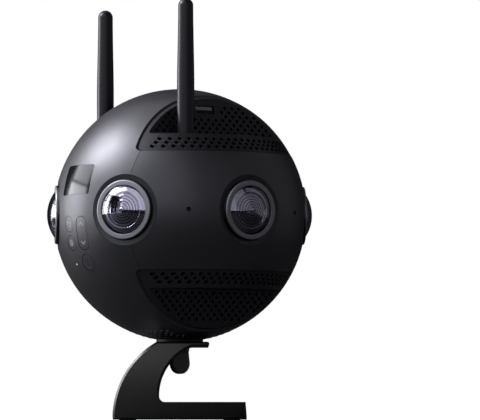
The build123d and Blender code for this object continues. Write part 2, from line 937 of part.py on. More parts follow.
def usb_port():
    port = port_shell(usb_width, usb_height, usb_opening_width, usb_opening_height, usb_length)
    tongue_top = usb_opening_height / 2 - usb_tongue_setback / 2
    half = usb_tongue_width / 2
    heights = (tongue_top - usb_tongue_height, tongue_top)
    tongue = block((-half, half), heights, (-usb_length, -usb_tongue_setback))
    return port_plane().location * (port + tongue)


def network_port():
    opening = (network_opening_width, network_opening_height)
    port = port_shell(network_width, network_height, *opening, network_length)
    return mirror(port_plane().location * port, about=Plane.YZ)


# Antennas and the threaded sockets that they turn on

antenna_foot = ledge_z + antenna_foot_gap


def antenna():
    bore = antenna_socket_radius + running_gap
    shoulder = antenna_length - antenna_tip_radius
    waist = (antenna_waist_radius, antenna_waist_height)
    side = Spline((antenna_base_radius, 0), waist, (antenna_tip_radius, shoulder), tangents=((0, 1), (0, 1)))
    tip = CenterArc((0, shoulder), antenna_tip_radius, 0, 90)
    bore_top = (bore, antenna_socket_height)
    inside = Polyline((0, antenna_length), (0, antenna_socket_height), bore_top, (bore, 0))
    foot = Line((bore, 0), (antenna_base_radius, 0))
    return Pos(0, 0, antenna_foot) * turned(side + tip + inside + foot)


def antenna_socket():
    under = ledge_z - ledge_thickness
    top = antenna_foot + antenna_socket_height - seat_gap
    socket = post(antenna_socket_radius, under - antenna_nut_height, top)
    nut = extrude(RegularPolygon(antenna_nut_radius, 6), amount=antenna_nut_height)
    washer = post(antenna_waist_radius + seat_gap, ledge_z, antenna_foot - seat_gap)
    return socket + Pos(0, 0, under - antenna_nut_height) * nut + washer


def tripod_mount_plate():
    mount = post(mount_radius, mount_face, mount_flange_face)
    mount += post(mount_flange_radius, mount_flange_face, mount_top)
    return mount - post(tripod_bore_radius, mount_face - cut_overrun, mount_top + cut_overrun)


write(usb_port(), "usb_port")
write(network_port(), "network_port")
for side, sign in (("right", 1), ("left", -1)):
    write(Pos(sign * antenna_x, antenna_y, 0) * antenna(), side + "_antenna")
write_group([Pos(sign * antenna_x, antenna_y, 0) * antenna_socket() for sign in (1, -1)], "antenna_sockets")
write(tripod_mount_plate(), "tripod_mount_plate")


# Desk stand: one thick plate bent into a foot, a curved leg and a thin top that the ball screws onto

def stand_outline():
    heel = (-stand_heel, stand_foot_gap)
    belly = (-stand_heel * stand_belly_s_share, stand_top * stand_belly_h_share)
    shoulder = (-stand_heel * stand_shoulder_share, stand_top)
    tip = (stand_tip_s, stand_top)
    under_tip = (stand_tip_s - stand_tip_lean, stand_top - stand_tip_thickness)
    under_top = (stand_tip_s * stand_inner_top_share, stand_top - stand_tip_thickness)
    inner_mid = (stand_leg_s * stand_inner_mid_s_share, stand_top * stand_inner_mid_h_share)
    inner_low = (stand_leg_s, stand_top * stand_inner_low_share)
    fillet_top = (stand_leg_s, stand_base_top + stand_inner_fillet)
    fillet_end = (stand_leg_s + stand_inner_fillet, stand_base_top)
    outer_leg = ThreePointArc(heel, belly, shoulder)
    top = Polyline(shoulder, tip, under_tip, under_top)
    inner_leg = ThreePointArc(under_top, inner_mid, inner_low)
    inner_wall = Line(inner_low, fillet_top)
    corner = RadiusArc(fillet_top, fillet_end, -stand_inner_fillet)
    toe_top = (stand_toe - stand_toe_lean, stand_base_top)
    foot = Polyline(fillet_end, toe_top, (stand_toe, stand_foot_gap), heel)
    return outer_leg + top + inner_leg + inner_wall + corner + foot


def stand_arm():
    half = stand_depth / 2
    face = make_face(stand_outline())
    tip = face.vertices().filter_by_position(Axis.Y, stand_top, stand_top).sort_by(Axis.X)[-1]
    arm = extrude(Plane.XZ * fillet(tip, stand_tip_round), amount=half, both=True)
    ends = arm.faces().filter_by(Axis.Y)
    arm = chamfer(ends.edges(), stand_edge_round)
    arm -= post(screw_hole_radius, paddle_centre_h, centre_height)
    arm -= post(screw_relief_radius, paddle_centre_h - screw_relief_radius, screw_seat_h)
    return Rot(0, 0, stand_turn) * arm


def stand_top_pad():
    pad = post(top_pad_radius, stand_top, stand_top + top_pad_thickness)
    return pad - post(top_pad_bore_radius, 0, centre_height)


def foot_pads():
    pad = post(foot_pad_radius, 0, stand_foot_gap)
    along, across = stand_toe * foot_pad_place_share, stand_depth / 2 * foot_pad_place_share
    turn = Rot(0, 0, stand_turn)
    return [turn * Pos(x * along, y * across, 0) * pad for x in (1, -1) for y in (1, -1)]


def thumbscrew():
    """A tripod screw with a flat drop-shaped paddle to turn it by."""
    collar_low = screw_seat_h - seat_gap - screw_collar_height
    screw = post(screw_radius, collar_low, centre_height + mount_face + screw_bite)
    screw += post(screw_collar_radius, collar_low, screw_seat_h - seat_gap)
    shoulders = Polyline(
        (-paddle_radius, paddle_centre_h),
        (-paddle_top_width / 2, collar_low + seat_gap),
        (paddle_top_width / 2, collar_low + seat_gap),
        (paddle_radius, paddle_centre_h),
        close=True,
    )
    drop = make_face(shoulders) + Pos(0, paddle_centre_h) * Circle(paddle_radius)
    paddle = extrude(Plane.YZ * drop, amount=paddle_thickness / 2, both=True)
    return screw + chamfer(paddle.faces().filter_by(Axis.X).edges(), paddle_round)


write(stand_arm(), "stand_arm", 0)
write(stand_top_pad(), "stand_top_pad", 0)
write_group(foot_pads(), "stand_foot_pads", 0)
write(thumbscrew(), "thumbscrew", 0)
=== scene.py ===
# %% [markdown]
# # A ball camera with lenses all round
#
# The object is a ball of black-painted aluminium, 143 mm across, that looks every way at once.
# Lenses sit on its equator, perforated vents lie above and below its sides, two antennas stand on it,
# and a desk stand bent from one thick plate carries it.
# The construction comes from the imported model, so the pieces with a true shape only get a finish here.
# What the model leaves out is built in mesh code and rides on the body that carries it.

# %% Load the frame
import math
import bmesh
import bpy
from mathutils import Matrix, Vector


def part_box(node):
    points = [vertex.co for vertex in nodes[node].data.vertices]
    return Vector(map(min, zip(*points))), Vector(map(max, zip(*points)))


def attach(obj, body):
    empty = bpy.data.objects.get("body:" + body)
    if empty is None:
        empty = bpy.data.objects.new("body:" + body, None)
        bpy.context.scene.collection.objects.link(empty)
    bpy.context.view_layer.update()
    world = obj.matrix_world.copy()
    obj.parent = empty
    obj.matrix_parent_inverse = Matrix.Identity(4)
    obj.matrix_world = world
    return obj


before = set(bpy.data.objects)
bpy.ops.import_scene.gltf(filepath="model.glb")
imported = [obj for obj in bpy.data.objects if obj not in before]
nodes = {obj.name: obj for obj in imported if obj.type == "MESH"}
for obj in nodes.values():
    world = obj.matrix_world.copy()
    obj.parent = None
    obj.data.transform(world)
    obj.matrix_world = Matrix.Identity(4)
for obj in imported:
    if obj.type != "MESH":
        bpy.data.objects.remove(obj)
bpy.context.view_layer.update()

# %% [markdown]
# ## Sizes
#
# Everything is in metres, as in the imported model. The ball's centre and radius are read from the
# frame, so the pieces made here follow the ball. Other sizes are written in millimetres of the real
# object, read from the photograph at the ball's scale, or guessed where it doesn't show them.

# %% Sizes read from the frame
MM = 0.001
housing_low, housing_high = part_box("main_housing")
ball_radius = (housing_high.y - housing_low.y) / 2
ball_centre = Vector((0, 0, housing_high.z - ball_radius))
print("ball radius in mm:", round(ball_radius / MM, 2), "centre height:", round(ball_centre.z / MM, 2))

# %% [markdown]
# ## The camera
#
# The photograph was taken from the object's front right, a little below the middle of the ball, through
# a long lens, so parallel edges stay parallel. The camera stands where that view asks, far off, and is
# then turned a little, so that the ball falls where it does in the picture. Turning it is better than
# shifting the lens, because every other view of the object then stays centred.

# %% Camera
PICTURE_WIDTH_PX, PICTURE_HEIGHT_PX = 480, 420
BALL_X_PX, BALL_Y_PX = 179.74, 215.42
MM_PER_PX = 0.5662
SENSOR_MM = 36.0
VIEW_AZIMUTH = math.radians(56.14)
VIEW_ELEVATION = math.radians(-2.85)
CAMERA_DISTANCE = 2200 * MM
CLIP_END = 100

focal_px = CAMERA_DISTANCE / (MM_PER_PX * MM)
towards_camera = Vector((
    math.sin(VIEW_AZIMUTH) * math.cos(VIEW_ELEVATION),
    -math.cos(VIEW_AZIMUTH) * math.cos(VIEW_ELEVATION),
    math.sin(VIEW_ELEVATION),
))
camera_data = bpy.data.cameras.new("long_lens")
camera_data.sensor_width = SENSOR_MM
camera_data.lens = focal_px * SENSOR_MM / PICTURE_WIDTH_PX
camera_data.clip_end = CLIP_END
camera = bpy.data.objects.new("camera_view", camera_data)
bpy.context.scene.collection.objects.link(camera)
camera.location = ball_centre + towards_camera * CAMERA_DISTANCE
pan = math.atan((PICTURE_WIDTH_PX / 2 - BALL_X_PX) / focal_px)
tilt = math.atan((BALL_Y_PX - PICTURE_HEIGHT_PX / 2) / focal_px)
camera.rotation_euler = (math.pi / 2 - VIEW_ELEVATION + tilt, 0, VIEW_AZIMUTH - pan)
bpy.context.scene.camera = camera
bpy.context.scene.view_settings.view_transform = "Standard"
print("lens in mm:", round(camera_data.lens, 1))

# %% [markdown]
# ## Colour and nodes
#
# Colours are written as sRGB hex, the way they are picked from a picture, and one function turns them
# into the linear numbers that the shader works with. A second small function adds a node with its
# settings and links, so each finish reads as a short list of what feeds what. Some sockets share a
# name and are given by place instead: in a colour mix, 0 is the factor, 6 and 7 are the two colours,
# and output 2 is the result.

# %% Helpers for finishes
def linear(hex_colour):
    """An sRGB hex colour as a linear RGBA tuple, by the curve of the sRGB standard."""
    parts = [int(hex_colour[index:index + 2], 16) / 255 for index in (1, 3, 5)]
    return tuple(p / 12.92 if p <= 0.04045 else ((p + 0.055) / 1.055) ** 2.4 for p in parts) + (1.0,)


def add(tree, kind, settings=None, **inputs):
    """Adds a node. Each input is a value or a socket to link, by name, or by place as i0, i1, ..."""
    node = tree.nodes.new(kind)
    for name, value in (settings or {}).items():
        setattr(node, name, value)
    for name, value in inputs.items():
        key = int(name[1:]) if name[0] == "i" and name[1:].isdigit() else name.replace("_", " ")
        if isinstance(value, bpy.types.NodeSocket):
            tree.links.new(value, node.inputs[key])
        else:
            node.inputs[key].default_value = value
    return node


def new_finish(name, **inputs):
    """A new material, its node tree and its shader, with these values on the shader's sockets."""
    material = bpy.data.materials.new(name)
    material.use_nodes = True
    shader = material.node_tree.nodes["Principled BSDF"]
    for key, value in inputs.items():
        shader.inputs[key.replace("_", " ")].default_value = value
    return material, material.node_tree, shader


def dress(material, *names):
    """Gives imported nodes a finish, and says so."""
    for name in names:
        nodes[name].data.materials.clear()
        nodes[name].data.materials.append(material)
    print(f"{material.name}: {', '.join(names)}")

# %% [markdown]
# ## A grained surface
#
# Paint, moulded plastic, cast and blasted metal all share one build-up: a fine grain that lifts the
# surface by some thousandths of a millimetre and mottles its colour slightly, and a slow wander of the
# roughness where it was handled. One recipe serves them all, with the grain's width and height in
# millimetres as its numbers. Noise is used for the grain, because spray and spark-eroded moulds leave
# no regular pattern. Noise seldom leaves the range from 0.3 to 0.7, so that range is what gets spread.

# %% Grained surfaces
HANDLING_MM = 22
NOISE_RANGE = {"From_Min": 0.3, "From_Max": 0.7}


def grained(name, dark, light, roughness, grain_mm, relief_mm, wander=0.03, **inputs):
    """A finish whose colour, relief and roughness vary with a fine grain and slow handling marks."""
    material, tree, shader = new_finish(name, **inputs)
    place = add(tree, "ShaderNodeTexCoord").outputs["Object"]
    fine = add(tree, "ShaderNodeTexNoise", Vector=place, Scale=1 / (grain_mm * MM), Detail=2.0)
    slow = add(tree, "ShaderNodeTexNoise", Vector=place, Scale=1 / (HANDLING_MM * MM), Detail=4.0)
    colour = add(
        tree, "ShaderNodeMix", {"data_type": "RGBA"}, i0=fine.outputs[0], i6=linear(dark), i7=linear(light)
    )
    worn = add(
        tree, "ShaderNodeMapRange", Value=slow.outputs[0], To_Min=roughness - wander,
        To_Max=roughness + wander, **NOISE_RANGE,
    )
    bump = add(tree, "ShaderNodeBump", Height=fine.outputs[0], Distance=relief_mm * MM)
    tree.links.new(colour.outputs[2], shader.inputs["Base Color"])
    tree.links.new(worn.outputs[0], shader.inputs["Roughness"])
    tree.links.new(bump.outputs[0], shader.inputs["Normal"])
    return material

# %% [markdown]
# ## Sprayed paint and powder coat
#
# The ball's shells are cast and turned aluminium with a soft black spray paint. Such a paint scatters
# light widely, so a studio softbox becomes a broad pale cloud on the ball instead of a sharp window.
# Its roughness is near 0.4. In the photograph the ball shines more than plain paint does, and slightly
# lavender, so the IOR is 1.75, which nearly doubles the reflection, and the reflection is tinted. The
# grain of such a paint is about 0.1 mm, too fine for the picture, so it is drawn at 0.5 mm. The stand's
# powder coat is blacker and coarser, the orange peel of a coat that melted in an oven. The mount plate
# under the ball is duller than both.

# %% Paint on metal
shell_paint = grained(
    "soft_spray_paint", "#101012", "#161619", 0.42, 0.5, 0.004, IOR=1.75, Specular_Tint=linear("#e3e4f5")
)
powder_coat = grained("black_powder_coat", "#060607", "#0b0b0d", 0.40, 0.8, 0.006, IOR=1.6)
# The mount plate's near-black is painted shade, for the dark gap between the ball and the stand.
mount_plate_painted_shade = grained("mount_coat_painted_shade", "#050506", "#09090a", 0.6, 0.5, 0.006, IOR=1.4)
dress(shell_paint, "main_housing", "right_side_shell", "left_side_shell")
dress(powder_coat, "stand_arm")
dress(mount_plate_painted_shade, "tripod_mount_plate")

# %% [markdown]
# ## The stand's crowned sides
#
# In the photograph the leg of the stand carries a soft light patch, which a flat side doesn't draw.
# A plate whose side swells slightly towards its middle would. Such a swelling is too slight to model,
# so it goes into the powder coat as a very wide, low bump, laid under the coat's own grain. Its radius
# of 120 mm and its place were chosen for the size and place of the patch, and it is stronger than
# a real plate's swelling is likely to be. The broad side of the stand faces the camera, so the way along
# the plate is the way across the picture.

# %% Crowned sides
CROWN_RADIUS_MM = 120
CROWN_ALONG_MM, CROWN_HEIGHT_MM = -8, 20
crown_tree = powder_coat.node_tree
crown_place = add(crown_tree, "ShaderNodeTexCoord").outputs["Object"]
stand_way = (math.cos(VIEW_AZIMUTH), math.sin(VIEW_AZIMUTH), 0)
along = add(crown_tree, "ShaderNodeVectorMath", {"operation": "DOT_PRODUCT"}, i0=crown_place, i1=stand_way)
upward = add(crown_tree, "ShaderNodeSeparateXYZ", Vector=crown_place)
squares = []
for value, middle in ((along.outputs["Value"], CROWN_ALONG_MM), (upward.outputs["Z"], CROWN_HEIGHT_MM)):
    offset = add(crown_tree, "ShaderNodeMath", {"operation": "SUBTRACT"}, i0=value, i1=middle * MM)
    squares.append(add(
        crown_tree, "ShaderNodeMath", {"operation": "MULTIPLY"}, i0=offset.outputs[0], i1=offset.outputs[0]
    ).outputs[0])
spread = add(crown_tree, "ShaderNodeMath", {"operation": "ADD"}, i0=squares[0], i1=squares[1])
crown = add(
    crown_tree, "ShaderNodeMath", {"operation": "MULTIPLY"}, i0=spread.outputs[0],
    i1=-1 / (2 * CROWN_RADIUS_MM * MM),
)
crown_bump = add(crown_tree, "ShaderNodeBump", Height=crown.outputs[0], Distance=1.0)
grain_bump = crown_tree.nodes["Bump"]
crown_tree.links.new(crown_bump.outputs[0], grain_bump.inputs["Normal"])
print("crown bump feeds:", grain_bump.name)

# %% [markdown]
# ## Moulded plastics
#
# The vents and the thumbscrew are glass-filled nylon from a spark-eroded mould: dull, with a grain of
# about 0.35 mm. Buttons and battery case are ABS, the buttons sprayed with the paint of the ball. The
# antennas are rubbery TPE, satin, with a soft streak of light down one side. Fan and frame are PBT,
# plain and slightly shiny. The seals of the lenses are nitrile, the pads of the stand silicone rubber.

# %% Plastics
nylon = grained(
    "moulded_glass_filled_nylon", "#0c0c0f", "#131317", 0.44, 0.35, 0.010, IOR=1.45,
    Specular_Tint=linear("#e0e2f4"),
)
button_abs = grained(
    "painted_button_abs", "#101012", "#161619", 0.40, 0.4, 0.003, IOR=1.75, Specular_Tint=linear("#e3e4f5")
)
antenna_tpe = grained(
    "satin_antenna_tpe", "#0c0c0f", "#121216", 0.36, 0.4, 0.004, IOR=1.4, Specular_Tint=linear("#e0e2f4")
)
fan_pbt = grained("moulded_fan_pbt", "#141416", "#1c1c1f", 0.4, 0.3, 0.006, IOR=1.55)
battery_abs = grained("battery_case_abs", "#17181a", "#1f2022", 0.45, 0.3, 0.008, IOR=1.54)
thumb_nylon = grained("thumbscrew_nylon", "#191a1e", "#222328", 0.4, 0.35, 0.008, IOR=1.53)
seal_rubber = grained("nitrile_seal_rubber", "#0d0d0e", "#141415", 0.6, 0.3, 0.01, IOR=1.52)
pad_rubber = grained("silicone_pad_rubber", "#101011", "#19191b", 0.62, 0.5, 0.015, IOR=1.43)
for side in ("right", "left"):
    for level in ("upper", "lower"):
        dress(nylon, f"{level}_{side}_vent_shelf", f"{level}_{side}_vent_grille")
    dress(antenna_tpe, f"{side}_antenna")
dress(button_abs, "back_button", "settings_button", "up_down_rocker", "shutter_button")
dress(fan_pbt, "fan_frame", "fan_impeller")
dress(battery_abs, "battery_pack", "battery_tray")
dress(thumb_nylon, "thumbscrew")
dress(seal_rubber, "lens_seals")
dress(pad_rubber, "stand_top_pad", "stand_foot_pads")

# %% [markdown]
# ## Metals
#
# A metal's colour is its reflection, so these finishes are fully metallic and keep the default IOR.
# The core frame and heat sink are bead-blasted aluminium, the ports are blackened steel, the antenna
# sockets turned brass with gold plating, and the screws bright zinc-plated steel. The microphones show
# only the black mesh that keeps dust out of them, which is no metal.

# %% Metals
blasted_aluminium = grained("bead_blasted_aluminium", "#a9abae", "#c2c4c7", 0.42, 0.3, 0.006, Metallic=1.0)
black_steel = grained("blackened_port_steel", "#3a3a3d", "#47474b", 0.4, 0.3, 0.002, Metallic=1.0)
acoustic_mesh = grained("black_acoustic_mesh", "#080809", "#121214", 0.7, 0.25, 0.02, IOR=1.5)
gold_plated_brass = grained("gold_plated_brass", "#c79a4c", "#dcb467", 0.22, 0.3, 0.002, Metallic=1.0)
zinc_plated_steel = grained("zinc_plated_steel", "#a6abb3", "#c3c8d0", 0.3, 0.3, 0.003, Metallic=1.0)
dress(blasted_aluminium, "core_frame", "heat_sink")
dress(black_steel, "usb_port", "network_port")
dress(acoustic_mesh, "microphones")
dress(gold_plated_brass, "antenna_sockets", "battery_contacts")
dress(zinc_plated_steel, "sensor_board_screws")

# %% [markdown]
# ## Circuit boards and silicon
#
# A board is glass-epoxy laminate under a green solder mask. Copper covers most of it and shows as a
# slightly lighter green, cut by gaps that run in two directions, so a brick pattern with wide joints
# stands for it. Its bricks are half a unit wide and a quarter high, 0.65 by 0.33 mm. The image sensors
# are silicon under a filter stack, whose thin layers shift a dark mirror towards green and purple, so
# their shader has a thin film of 480 nm.

# %% Boards, chip and sensors
TRACK_UNIT_MM = 1.3
TRACK_RELIEF_MM = 0.03


def solder_mask(name, mask, track):
    """Green laminate with copper seen through the mask."""
    material, tree, shader = new_finish(name, Roughness=0.32, IOR=1.55)
    place = add(tree, "ShaderNodeTexCoord").outputs["Object"]
    tracks = add(
        tree, "ShaderNodeTexBrick", Vector=place, Scale=1 / (TRACK_UNIT_MM * MM), Color1=linear(mask),
        Color2=linear(mask), Mortar=linear(track), Mortar_Size=0.12,
    )
    bump = add(tree, "ShaderNodeBump", Height=tracks.outputs["Fac"], Distance=TRACK_RELIEF_MM * MM)
    tree.links.new(tracks.outputs["Color"], shader.inputs["Base Color"])
    tree.links.new(bump.outputs[0], shader.inputs["Normal"])
    return material


board_green = solder_mask("green_solder_mask", "#0d3a26", "#1c5a3a")
chip_epoxy = grained("black_moulding_epoxy", "#1a1a1b", "#242425", 0.5, 0.25, 0.01, IOR=1.55)
silicon = grained(
    "filtered_silicon", "#2b2f38", "#363a45", 0.12, 0.2, 0.0005, wander=0.01, Metallic=1.0,
    Thin_Film_Thickness=480.0, Thin_Film_IOR=1.6,
)
dress(board_green, "sensor_boards", "main_board", "button_board")
dress(chip_epoxy, "processor", "display_module")
dress(silicon, "image_sensors")

# %% [markdown]
# ## Black anodised bezels and barrels
#
# Each bezel is turned from aluminium and anodised black. The lathe leaves fine rings, which draw a
# highlight into two bright fans. They are drawn 0.45 mm apart here, coarser than real ones, or they
# would vanish. A wave pattern of rings about the lens's own axis does this, and each bearing has a
# finish of its own, because the rings have to follow that axis. A wave repeats every tau / 20 of its
# own units, which sets its scale. The barrels behind the glass are matt black, to swallow stray light,
# so the plain grained recipe serves them.

# %% Turned rings about each lens axis
LENS_BEARINGS = {
    "front_left": -30, "front_right": 30, "right": 90, "rear_right": 150, "rear_left": -150, "left": -90,
}
WAVE_PERIOD = math.tau / 20
BLOTCH_MM = 4
RING_GLOSS = 0.06


def turned(name, bearing, dark, light, roughness, ring_mm, relief_mm, **inputs):
    """Rings left by a lathe about the axis of the lens at this bearing."""
    material, tree, shader = new_finish(name, **inputs)
    place = add(tree, "ShaderNodeTexCoord").outputs["Object"]
    along_axis = add(
        tree, "ShaderNodeMapping", {"vector_type": "TEXTURE"}, Vector=place, Location=ball_centre,
        Rotation=(math.radians(90), 0, math.radians(bearing)),
    )
    rings = add(
        tree, "ShaderNodeTexWave", {"wave_type": "RINGS", "rings_direction": "Z"},
        Vector=along_axis.outputs[0], Scale=WAVE_PERIOD / (ring_mm * MM), Distortion=0.4,
    )
    blotch = add(tree, "ShaderNodeTexNoise", Vector=place, Scale=1 / (BLOTCH_MM * MM), Detail=3.0)
    colour = add(
        tree, "ShaderNodeMix", {"data_type": "RGBA"}, i0=blotch.outputs[0], i6=linear(dark), i7=linear(light)
    )
    gloss = add(
        tree, "ShaderNodeMapRange", Value=rings.outputs["Fac"],
        To_Min=roughness - RING_GLOSS, To_Max=roughness + RING_GLOSS,
    )
    bump = add(tree, "ShaderNodeBump", Height=rings.outputs["Fac"], Distance=relief_mm * MM)
    tree.links.new(colour.outputs[2], shader.inputs["Base Color"])
    tree.links.new(gloss.outputs[0], shader.inputs["Roughness"])
    tree.links.new(bump.outputs[0], shader.inputs["Normal"])
    return material

# %% Bezels and barrels
for place_name, bearing in LENS_BEARINGS.items():
    anodised = turned(
        f"black_anodised_aluminium_{place_name}", bearing, "#3a3b3f", "#45464b", 0.36, 0.45, 0.002,
        Metallic=1.0,
    )
    dress(anodised, f"{place_name}_lens_bezel")
barrel_black = grained("matt_black_anodising", "#0c0c0d", "#121213", 0.5, 0.3, 0.006, IOR=1.6)
dress(barrel_black, "lens_barrels")

# %% [markdown]
# ## Glass
#
# The domes are polished glass, IOR 1.52, with a coating that gives reflections a faint violet tint. Fine
# dust and wipe marks vary the roughness, too little to dull the reflections. The inner element is denser
# glass, drawn with IOR 1.9, a violet tint on its reflections and a hard clear coat. The cones that are
# made further on stand in front of it. The display window is black glass, and the small lamp below the
# buttons shows through a clouded light pipe.

# %% Dome, element, window and light pipe
WIPE_MM = 9


def polished_glass(name, tint, marks, **inputs):
    """Clear glass whose polish varies a little with wipe marks."""
    material, tree, shader = new_finish(name, Transmission_Weight=1.0, **inputs)
    place = add(tree, "ShaderNodeTexCoord").outputs["Object"]
    wipes = add(
        tree, "ShaderNodeTexNoise", Vector=place, Scale=1 / (WIPE_MM * MM), Detail=5.0, Distortion=0.6
    )
    polish = add(
        tree, "ShaderNodeMapRange", Value=wipes.outputs[0], From_Min=0.45, From_Max=0.75, To_Min=0.0,
        To_Max=marks,
    )
    tree.links.new(polish.outputs[0], shader.inputs["Roughness"])
    shader.inputs["Base Color"].default_value = linear(tint)
    return material


dome_glass = polished_glass("coated_dome_glass", "#e4e3ee", 0.03, IOR=1.52, Specular_Tint=linear("#e9e4ff"))
element_glass = polished_glass(
    "coated_element_glass", "#d6d4e2", 0.02, IOR=1.9, Specular_Tint=linear("#d5d0ff"),
    Coat_Weight=1.0, Coat_IOR=2.2, Coat_Roughness=0.02,
)
window_glass = grained(
    "black_display_glass", "#0a0b0c", "#0d0e10", 0.12, 6.0, 0.0002, wander=0.02, IOR=1.42,
    Specular_Tint=linear("#dcdef2"),
)
light_pipe = grained(
    "clouded_light_pipe", "#c9cbcf", "#dfe1e4", 0.3, 0.3, 0.003, IOR=1.58, Transmission_Weight=0.4
)
for place_name in LENS_BEARINGS:
    dress(dome_glass, f"{place_name}_lens_dome")
dress(element_glass, "inner_lens_elements")
dress(window_glass, "display_window")
dress(light_pipe, "status_light")

# %% [markdown]
# ## Behind the domes
#
# A satin ring clamps the edge of each dome. Through the glass one sees a turned ring that slopes
# outwards, and inside it a shallow stepped cone of seven rings with a small rounded cap in its middle.
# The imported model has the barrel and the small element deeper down, and these pieces lie in front of
# them. All three are turned parts, so each is drawn as half a section, as radius and distance from the
# ball's centre in millimetres, and spun about the lens's axis. Flat cones matter here: a cone reflects a
# softbox as a wedge with straight edges that run to the middle, which is what gives a wide lens its
# bright crescent and its grey fan.

# %% Spinning a section
SPIN_STEPS = 96


def lens_matrix(bearing):
    """Turns +Z to the outward axis of the lens at this bearing, about the ball's centre."""
    turn = Matrix.Rotation(math.radians(bearing), 4, "Z") @ Matrix.Rotation(math.radians(90), 4, "X")
    return Matrix.Translation(ball_centre) @ turn


def circle_points(radius_mm, count, centre=(0, 0), start=0.0, sweep=math.tau):
    """Points round a circle, or along an arc of it."""
    steps = count if sweep == math.tau else count - 1
    return [
        (centre[0] + radius_mm * math.cos(start + sweep * i / steps),
         centre[1] + radius_mm * math.sin(start + sweep * i / steps))
        for i in range(count)
    ]


def add_spin(drawing, section_mm, steps, place):
    """Adds a section, as radius and height, spun about Z, to a bmesh. A radius of 0 is one point."""
    rings = []
    for radius, height in section_mm:
        points = circle_points(radius, steps) if radius else [(0, 0)]
        made = [drawing.verts.new(place @ Vector((x * MM, y * MM, height * MM))) for x, y in points]
        rings.append(made if radius else made * steps)
    for low, high in zip(rings, rings[1:]):
        for step in range(steps):
            after = (step + 1) % steps
            corners = [low[step], low[after], high[after], high[step]]
            drawing.faces.new([c for i, c in enumerate(corners) if c not in corners[:i]])


def spun(section_mm):
    """A bmesh of one spun section, with its faces turned outwards."""
    drawing = bmesh.new()
    add_spin(drawing, section_mm, SPIN_STEPS, Matrix())
    bmesh.ops.recalc_face_normals(drawing, faces=drawing.faces)
    return drawing

# %% [markdown]
# ## Placing pieces on the ball
#
# A small helper turns a bmesh into an object with a finish. A second one stands it at its place and lets
# it ride on a body, so it moves with that body when a joint turns. Only the rings and cones of the
# lenses are shaded smooth.

# %% Helpers for pieces
def mesh_object(name, drawing, material):
    """A new object in the scene from a bmesh, which it frees, with a finish."""
    mesh = bpy.data.meshes.new(name)
    drawing.to_mesh(mesh)
    drawing.free()
    mesh.materials.append(material)
    made = bpy.data.objects.new(name, mesh)
    bpy.context.scene.collection.objects.link(made)
    return made


def piece(name, drawing, material, body, matrix, smooth=False):
    """A new object from a bmesh that stands at this matrix and rides on a body."""
    made = mesh_object(name, drawing, material)
    for face in made.data.polygons:
        face.use_smooth = smooth
    made.matrix_world = matrix
    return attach(made, body)

# %% [markdown]
# ## Rings and cones behind each dome
#
# The clamp ring is satin anodised aluminium. The sloping ring and the cones behind the glass are
# bright-turned and coated dark: the ring mirrors a little over half of the light, the cones between a
# fifth and two thirds of it. Each cone keeps its slope to its edge, which is what draws a wedge with
# straight sides. Neighbouring cones differ by 3 to 4.5 degrees, with a fine groove between them, and
# those show as arcs in the wedge. These are mirrors, so their finish has no grain, only rings in the
# coat, 1.5 mm apart on the cones and 1.6 mm on the sloping ring where a lathe's own are finer, and a
# slow change of polish.

# %% Polished metal
POLISH_MM = 7
POLISH_SWING = 0.2


def polished(name, dark, light, roughness, ring_mm, **inputs):
    """A bright-turned and coated metal: rings in its coat, and a polish that changes slowly."""
    material, tree, shader = new_finish(name, Metallic=1.0, **inputs)
    place = add(tree, "ShaderNodeTexCoord").outputs["Object"]
    slow = add(tree, "ShaderNodeTexNoise", Vector=place, Scale=1 / (POLISH_MM * MM), Detail=2.0)
    rings = add(
        tree, "ShaderNodeTexWave", {"wave_type": "RINGS", "rings_direction": "Z"}, Vector=place,
        Scale=WAVE_PERIOD / (ring_mm * MM), Distortion=0.3, Detail=1.0,
    )
    colour = add(
        tree, "ShaderNodeMix", {"data_type": "RGBA"}, i0=rings.outputs["Fac"],
        i6=linear(dark), i7=linear(light),
    )
    polish = add(
        tree, "ShaderNodeMapRange", Value=slow.outputs[0], To_Min=roughness * (1 - POLISH_SWING),
        To_Max=roughness * (1 + POLISH_SWING), **NOISE_RANGE,
    )
    tree.links.new(colour.outputs[2], shader.inputs["Base Color"])
    tree.links.new(polish.outputs[0], shader.inputs["Roughness"])
    return material

# %% Sections of the rings and cones
CLAMP_SECTION = (
    (16.45, 69.85), (16.42, 70.25), (16.2, 70.55), (15.85, 70.7), (13.8, 70.74), (13.58, 70.64),
    (13.5, 70.52), (13.5, 70.47), (14.3, 70.5), (15.5, 70.53), (16.45, 69.85),
)
RING_SECTION = (
    (13.1, 68.45), (12.9, 68.75), (9.9, 70.15), (9.75, 70.1), (9.7, 69.5), (9.7, 68.45), (13.1, 68.45),
)
CONE_EDGES_MM = (9.55, 8.3, 7.1, 5.9, 4.6, 3.4, 2.3, 1.3)
CONE_SLOPES = (18.0, 22.0, 17.5, 21.5, 18.5, 23.0, 20.0)
CONE_FOOT_MM, CONE_RIM_MM = 68.6, 69.55
GROOVE_MM = 0.2
CAP_RISE_MM, CAP_STEPS = 0.5, 5

cone_height = CONE_RIM_MM
cone_section = [(CONE_EDGES_MM[0], CONE_FOOT_MM), (CONE_EDGES_MM[0], cone_height)]
for outer, inner, slope in zip(CONE_EDGES_MM, CONE_EDGES_MM[1:], CONE_SLOPES):
    cone_height += (outer - inner - GROOVE_MM) * math.tan(math.radians(slope))
    cone_section.append((inner + GROOVE_MM, cone_height))
    cone_section.append((inner + GROOVE_MM / 2, cone_height - GROOVE_MM))
    cone_section.append((inner, cone_height))
cap_edge = CONE_EDGES_MM[-1]
for step in range(1, CAP_STEPS + 1):
    radius = cap_edge * (1 - step / CAP_STEPS)
    cone_section.append((radius, cone_height + CAP_RISE_MM * (1 - (radius / cap_edge) ** 2)))
print("cone section points:", len(cone_section), "cap's foot in mm:", round(cone_height, 2))

